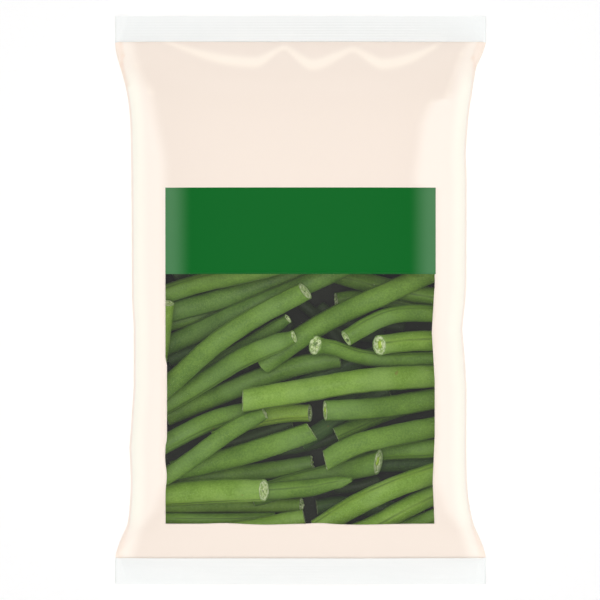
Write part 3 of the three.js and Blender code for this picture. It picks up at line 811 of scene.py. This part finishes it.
def bean_piece(look, name, skins, fleshes):
    """A bean: rings along its centre line, oval, ridged at the sutures, swollen over seeds, cut at its ends.

    Around a ring the radius is one plus an oval term in twice the angle, plus a bell at each suture. Along
    the bean it swells with the sine of the seed pitch. The last rings lean over to the angle of the cut,
    and a tip that was left on narrows by a smooth step.
    """
    number = int(name.split("_")[1])
    draw = np.random.default_rng(number)
    centres, radii = pod_line(frame["nodes"][name])
    length = np.linalg.norm(np.diff(centres, axis=0), axis=1).sum()
    where = np.linspace(0, length, int(length / look.step))
    # One more ring close to each end keeps the rim of the cut crisp.
    rim = 0.25 * MM
    where = np.insert(where, [1, len(where) - 1], [rim, length - rim])
    line, radius = smooth_line(centres, radii, where)
    ahead = np.gradient(line, where, axis=0)
    ahead /= np.linalg.norm(ahead, axis=1, keepdims=True)
    across = np.cross(ahead, (0, 0, 1))
    across /= np.linalg.norm(across, axis=1, keepdims=True)
    above = np.cross(across, ahead)
    roll = np.arcsin(SUTURES.get(number, draw.uniform(-0.97, 0.97)))
    turn = np.linspace(0, 2 * np.pi, look.sides, endpoint=False)
    from_suture = np.abs((turn - roll - np.pi / 2 + np.pi) % (2 * np.pi) - np.pi)
    outline = 1 + look.oval * np.cos(2 * from_suture)
    outline += 0.030 * bump(from_suture, 0.22, 0.13) - 0.012 * bump(from_suture, 0, 0.08)
    outline += 0.018 * bump(from_suture, np.pi, 0.2)
    seeds = np.sin(np.pi * where / look.seed_pitch + draw.uniform(0, 3)) ** 2 - 0.5
    wander = 0.014 * np.sin(where * draw.uniform(90, 140) + draw.uniform(0, 6))
    size = radius * (look.fullness + look.bulge * seeds + wander)
    # An end whose last radius is much smaller than the next one is a tip that was left on.
    tipped = [radii[0] < 0.4 * radii[1], radii[-1] < 0.4 * radii[-2]]
    for end, beside in ((0, radii[1]), (1, radii[-2])):
        if tipped[end]:
            part = where < 0.5 * length if end == 0 else where > 0.5 * length
            share = np.clip(radius / beside, 0.05, 1)
            size = np.where(part, size * (0.2 + 0.8 * ease(share, 0.02, 0.8)) / share, size)

    # The left end is 0 and the right end 1, so that -end is the place of the first ring or of the last.
    cuts = [CUTS.get((number, end), PLAIN_CUT) for end in (0, 1)]
    leans, slants = [], []
    lean, slant = np.zeros(len(line)), np.zeros(len(line))
    for end, sign in ((0, -1), (1, 1)):
        from_end = where if end == 0 else where[-1] - where
        flare, reach = FLARES.get((number, end), (0, 1))
        size = size * (1 + flare * (1 - ease(from_end, 0, reach)))
        slope = np.degrees(np.arcsin(sign * ahead[-end, 2]))
        angle = 0 if tipped[end] else np.clip(cuts[end][0] - slope, -40, 40)
        leans.append(-np.tan(np.radians(angle)))
        slants.append(0 if tipped[end] else np.tan(np.radians(cuts[end][1])))
        fade = 1 - ease(from_end, 0, 0.007)
        lean += sign * leans[end] * fade
        slant += sign * slants[end] * fade

    x, z = size[:, None] * outline * np.cos(turn), size[:, None] * outline * np.sin(turn)
    body = line[:, None] + across[:, None] * x[..., None] + above[:, None] * z[..., None]
    body += ahead[:, None] * (lean[:, None] * z + slant[:, None] * x)[..., None]
    faces_in = []
    for end, sign in ((0, -1), (1, 1)):
        axes = (sign * ahead[-end], across[-end], above[-end])
        kind = "solid" if tipped[end] else cuts[end][2]
        tilt = (leans[end], slants[end])
        faces_in.append(cut_rings(line[-end], axes, size[-end], outline, turn, *tilt, kind, draw))
    (left, left_share, left_pole), (right, right_share, right_pole) = faces_in
    points = np.concatenate([left[::-1], body, right])
    outward = np.concatenate([left_share[::-1], np.ones(len(line)), right_share])
    length_at = np.concatenate([np.zeros(len(left)), where, np.full(len(right), where[-1])])

    faces, place = pod_faces(look.sides, len(left), len(body), len(right))
    skin = skins[next((kind for kind, numbers in SKINS.items() if number in numbers), "fresh")]
    flesh = [skin if tipped[end] else fleshes[cuts[end][2]] for end in (0, 1)]
    every_point = np.concatenate([points.reshape(-1, 3), [left_pole, right_pole]])
    piece = make_piece(name + "_pod", every_point, faces, [skin, *flesh], place)
    map_pod(piece, look, faces, place > 0, roll, outward, length_at)
    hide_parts(name)


def map_pod(piece, look, faces, is_cut, roll, outward, length_at):
    """Maps a bean: once around it, with its sutures at a quarter and three quarters, and along it in seeds.

    Over a cut face the map runs outwards from the middle by the share of the radius, and once around.
    """
    angle = np.tile(np.arange(look.sides) / look.sides, len(outward))
    angle = np.concatenate([angle, [0, 0]])
    outward = np.concatenate([np.repeat(outward, look.sides), [0, 0]])
    length_at = np.concatenate([np.repeat(length_at, look.sides), [0, length_at[-1]]])
    corner = faces[faces >= 0]
    face = np.repeat(np.arange(len(faces)), (faces >= 0).sum(axis=1))
    first_angle = angle[faces[face, 0]]
    around = angle[corner]
    turns = (first_angle - around > 0.5) * 1.0 - (around - first_angle > 0.5) * 1.0
    start = 3.0 - roll / (2 * np.pi)
    around = around + turns + start - np.floor(first_angle + start)
    u = np.where(is_cut[face], outward[corner], around)
    v = np.where(is_cut[face], around, length_at[corner] / look.seed_pitch)
    layer = piece.data.uv_layers.new(name="pod")
    layer.data.foreach_set("uv", np.stack([u, v], axis=1).astype(np.float32).ravel())


def hidden_piece(look, name, skin):
    """Beans that others cover: the solid's faces merged, cut into small cells and smoothed."""
    mesh = frame["nodes"][name].data.copy()
    mesh.materials.clear()
    mesh.materials.append(skin)
    piece = bpy.data.objects.new(name + "_pods", mesh)
    bpy.context.scene.collection.objects.link(piece)
    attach(piece, "root")
    weld = piece.modifiers.new("Weld", "WELD")
    weld.merge_threshold = 0.00001
    cells = piece.modifiers.new("Cells", "REMESH")
    cells.mode = "VOXEL"
    cells.voxel_size = look.voxel
    cells.use_smooth_shade = True
    soften = piece.modifiers.new("Soften", "SMOOTH")
    soften.factor = 0.5
    soften.iterations = 6
    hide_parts(name)


# The studio's soft lights: name, place, size in metres, power in watts, and whether gloss mirrors them.
# The film, the beans and the floor each have their own. Only the beans shade the beans' lights, and
# nothing but the floor shades the floor wash, so that the floor stays white around the bag.
LIGHTS = {
    "film": (
        ("overhead softbox", (0.0, -0.06, 2.0), 1.5, 16.7, False),
        ("left strip", (-1.3, 0.1, 0.75), 0.9, 4.0, True),
        ("right strip", (1.3, 0.0, 0.75), 0.9, 4.4, True),
        ("end strip", (0.0, -1.4, 0.9), 0.9, 10.6, False),
        ("head strip", (0.0, 1.4, 0.9), 0.9, 9.4, False),
    ),
    "beans": (
        ("bean dome", (0.0, 0.0, 1.6), 2.8, 25.0, False),
        ("bean softbox", (0.0, 0.0, 1.9), 0.9, 7.0, True),
    ),
    "floor": (
        ("floor softbox", (0.0, 0.0, 2.0), 1.5, 20.0, False),
        ("floor wash", (0.0, 0.0, 2.5), 1.5, 28.0, False),
    ),
}


class BEANS_OT_stage(Operator):
    """Sets the floor, the white surroundings and the camera"""

    bl_idname = "beans.stage"
    bl_label = "Stage"

    def execute(self, context):
        scene = context.scene
        floor_points = np.array([(-3, -3, 0), (3, -3, 0), (3, 3, 0), (-3, 3, 0)]) - (0, 0, 0.0002)
        mesh = bpy.data.meshes.new("floor")
        mesh.from_pydata(floor_points.tolist(), [], [(0, 1, 2, 3)])

        # Uncoated white paper, matt, with a grain of 2.5 mm that hardly shows.
        material = new_material("white paper sweep")
        place = add(material, "TexCoord")["Object"]
        grain = add(material, "TexNoise", {"Vector": place, "Scale": 1 / (2.5 * MM), "Detail": 2.0})[0]
        colour = add(material, "Mix", {0: grain, 6: linear("FBFBFB"), 7: linear("FEFEFE")}, **COLOURS)[2]
        paper = {"Base Color": colour, "Roughness": 0.9}
        add(material, "OutputMaterial", {"Surface": add(material, "BsdfPrincipled", paper)[0]})
        mesh.materials.append(material)
        floor = bpy.data.objects.new("floor", mesh)
        scene.collection.objects.link(floor)

        # The studio is white at the horizon and dim overhead, so the flat film shows no veil from above.
        world = bpy.data.worlds.new("studio white")
        world.use_nodes = True
        direction = add(world, "TexCoord")["Generated"]
        up = add(world, "SeparateXYZ", [direction])["Z"]
        strength = add(world, "MapRange", [up, 0.1, 0.9, 0.6, 0.06], **SMOOTH)[0]
        backdrop = world.node_tree.nodes["Background"]
        backdrop.inputs["Color"].default_value = linear("FFFFFF")
        world.node_tree.links.new(strength, backdrop.inputs["Strength"])
        scene.world = world

        # The photograph shows the bag square on, 371 of its 600 pixels wide: a long lens, straight above.
        camera_data = bpy.data.cameras.new("camera")
        camera_data.sensor_width = 36
        distance, field = 5.0, 0.34933
        camera_data.lens = camera_data.sensor_width * (distance - 0.019) / field
        camera_data.clip_end = 50
        camera = bpy.data.objects.new("camera", camera_data)
        camera.location = (-0.0003, 0.0, distance)
        scene.collection.objects.link(camera)
        scene.camera = camera
        scene.view_settings.view_transform = "Standard"
        return {"FINISHED"}


class BEANS_OT_lights(Operator):
    """Sets the lights, one group each for the film, the beans and the floor"""

    bl_idname = "beans.lights"
    bl_label = "Lights"

    def execute(self, context):
        scene = context.scene
        groups = {title: bpy.data.collections.new("lit " + title) for title in LIGHTS}
        for piece in scene.collection.objects:
            if piece.type == "MESH":
                title = "beans" if piece.name.endswith(("_pod", "_pods")) else "film"
                groups["floor" if piece.name == "floor" else title].objects.link(piece)
        for title, lights in LIGHTS.items():
            for name, place, size, power, glossy in lights:
                data = bpy.data.lights.new(name, "AREA")
                data.shape = "SQUARE"
                data.size = size
                data.energy = power
                lamp = bpy.data.objects.new(name, data)
                lamp.location = place
                lamp.rotation_euler = (-Vector(place)).to_track_quat("-Z", "Y").to_euler()
                lamp.visible_glossy = glossy
                lamp.light_linking.receiver_collection = groups[title]
                if title == "beans" or name == "floor wash":
                    lamp.light_linking.blocker_collection = groups[title]
                scene.collection.objects.link(lamp)
        return {"FINISHED"}


class BEANS_OT_sleeve(Operator):
    """Makes the printed sleeve and the clear window in it"""

    bl_idname = "beans.sleeve"
    bl_label = "Printed sleeve and window"

    def execute(self, context):
        bag, layout = context.scene.bag_shape, context.scene.print_layout
        points, in_window, folds, tints = sleeve_grid(bag, layout)
        quads = grid_quads(points.shape[0], points.shape[1], True)
        flat = points.reshape(-1, 3)
        around, faces, fold, tint = used_only(flat, quads[~in_window], folds.ravel(), tints.reshape(-1, 3))
        sleeve = make_piece("sleeve_film", around, faces, [printed_film(layout), film_inside_painted_shade(layout)])
        attributes = sleeve.data.attributes
        attributes.new("fold", "FLOAT", "POINT").data.foreach_set("value", fold.astype(np.float32))
        side_tint = attributes.new("side_tint", "FLOAT_VECTOR", "POINT")
        side_tint.data.foreach_set("vector", tint.astype(np.float32).ravel())
        # Its inner faces take the inside's painted shade.
        thicken(sleeve, bag.film, 1)
        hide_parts("printed_sleeve")

        around, faces = used_only(flat, quads[in_window])
        pane = make_piece("window_film", around, faces, [clear_film()])
        thicken(pane, bag.film)
        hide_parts("window_pane")
        return {"FINISHED"}


class BEANS_OT_seals(Operator):
    """Makes the two end seals and the back seam"""

    bl_idname = "beans.seals"
    bl_label = "End seals and back seam"

    def execute(self, context):
        bag = context.scene.bag_shape
        welded = sealed_film("welded end film", 0.9)
        x = np.linspace(-bag.flat_width / 2, bag.flat_width / 2, 181)[None, :]
        out = np.linspace(-0.0004, bag.seal_end - bag.body_half, 62)[:, None]
        # The jaw's ribs lie 1.6 mm apart, drawn coarser than the real 0.8 mm so that they show, and fade
        # at the strip's two long edges.
        rib_pitch = 1.6 * MM
        ribs = 0.02 * MM * np.sin(2 * np.pi * out / rib_pitch)
        ribs = ribs * ease(out, 0.001, 0.003) * ease(-out, -0.014, -0.012)
        tuck = -0.35 * MM * bump(np.abs(x) + 0.25 * out, bag.flat_width / 2 - 0.0035, 0.0012)
        for name, side in (("top_seal", 1), ("bottom_seal", -1)):
            y = side * (bag.body_half + out) + 0 * x
            z = seal_z(bag, x) - 0.12 * np.maximum(out, 0) + 0.4 * MM + ribs + tuck
            points = np.stack([x + 0 * y, y, z], axis=2)
            faces = grid_quads(points.shape[0], points.shape[1], False).reshape(-1, 4)
            if side < 0:
                faces = faces[:, ::-1]
            seal = make_piece(name + "_film", points.reshape(-1, 3), faces, [welded])
            thicken(seal, 0.8 * MM)
            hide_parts(name)

        seam_half, lap = 0.1455, 0.012
        y = np.linspace(-seam_half, seam_half, 150)[:, None]
        x = np.linspace(0.0, lap, 13)[None, :] + 0 * y
        y = y + 0 * x
        top = back_z(bag, x / half_width(bag, y), y) + SEAM_LIFT * swell(bag, y) - 0.35 * MM
        bottom = np.maximum(0.02 * MM, top - 0.7 * MM)
        points = np.stack([x, y, bottom], axis=2)
        faces = grid_quads(*x.shape, False).reshape(-1, 4)[:, ::-1]
        seam = make_piece("seam_film", points.reshape(-1, 3), faces, [sealed_film("welded seam film", 0.85)])
        thicken(seam, 0.6 * MM)
        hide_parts("back_seam")
        return {"FINISHED"}


class BEANS_OT_shown(Operator):
    """Makes each bean that shows in the window"""

    bl_idname = "beans.shown"
    bl_label = "Beans in the window"

    def execute(self, context):
        look = context.scene.bean_look
        skins = bean_skins()
        fleshes = {
            # The darker middles of the solid, torn and hollow faces are partly painted shade in their sunken
            # middles.
            "solid": bean_flesh("cut bean flesh", look, 0.10, linear("6F8455")),
            "torn": bean_flesh("torn bean flesh", look, 0.26, linear("7F9A5C")),
            "hollow": bean_flesh("cut bean flesh around a hollow", look, 0.40, linear("5F7548")),
            "seed": bean_flesh("cut bean flesh around a seed", look, 0.34, tuple(look.seed)),
        }
        for name in shown_beans:
            bean_piece(look, name, skins, fleshes)
        return {"FINISHED"}


class BEANS_OT_hidden(Operator):
    """Makes the beans that lie under the others and under the print"""

    bl_idname = "beans.hidden"
    bl_label = "Beans underneath"

    def execute(self, context):
        look = context.scene.bean_look
        skins = bean_skins()
        for name in hidden_beans:
            # The beans underneath take the darkest skin, which is painted shade.
            hidden_piece(look, name, skins["painted_shade"])
        return {"FINISHED"}


class BEANS_PT_panel(Panel):
    """The steps that dress the bag"""

    bl_label = "Bag of green beans"
    bl_idname = "BEANS_PT_panel"
    bl_space_type = "VIEW_3D"
    bl_region_type = "UI"
    bl_category = "Green beans"

    def draw(self, context):
        for step in STEPS:
            self.layout.operator(step.bl_idname)


GROUPS = (BagShape, PrintLayout, BeanLook)
STEPS = (BEANS_OT_stage, BEANS_OT_sleeve, BEANS_OT_seals, BEANS_OT_shown, BEANS_OT_hidden, BEANS_OT_lights)


def register():
    for group in (*GROUPS, *STEPS, BEANS_PT_panel):
        bpy.utils.register_class(group)
    bpy.types.Scene.bag_shape = PointerProperty(type=BagShape)
    bpy.types.Scene.print_layout = PointerProperty(type=PrintLayout)
    bpy.types.Scene.bean_look = PointerProperty(type=BeanLook)


def unregister():
    del bpy.types.Scene.bean_look
    del bpy.types.Scene.print_layout
    del bpy.types.Scene.bag_shape
    for group in reversed((*GROUPS, *STEPS, BEANS_PT_panel)):
        bpy.utils.unregister_class(group)


def main():
    register()
    bpy.ops.beans.stage()
    bpy.ops.beans.sleeve()
    bpy.ops.beans.seals()
    bpy.ops.beans.shown()
    bpy.ops.beans.hidden()
    bpy.ops.beans.lights()


if __name__ == "__main__":
    main()
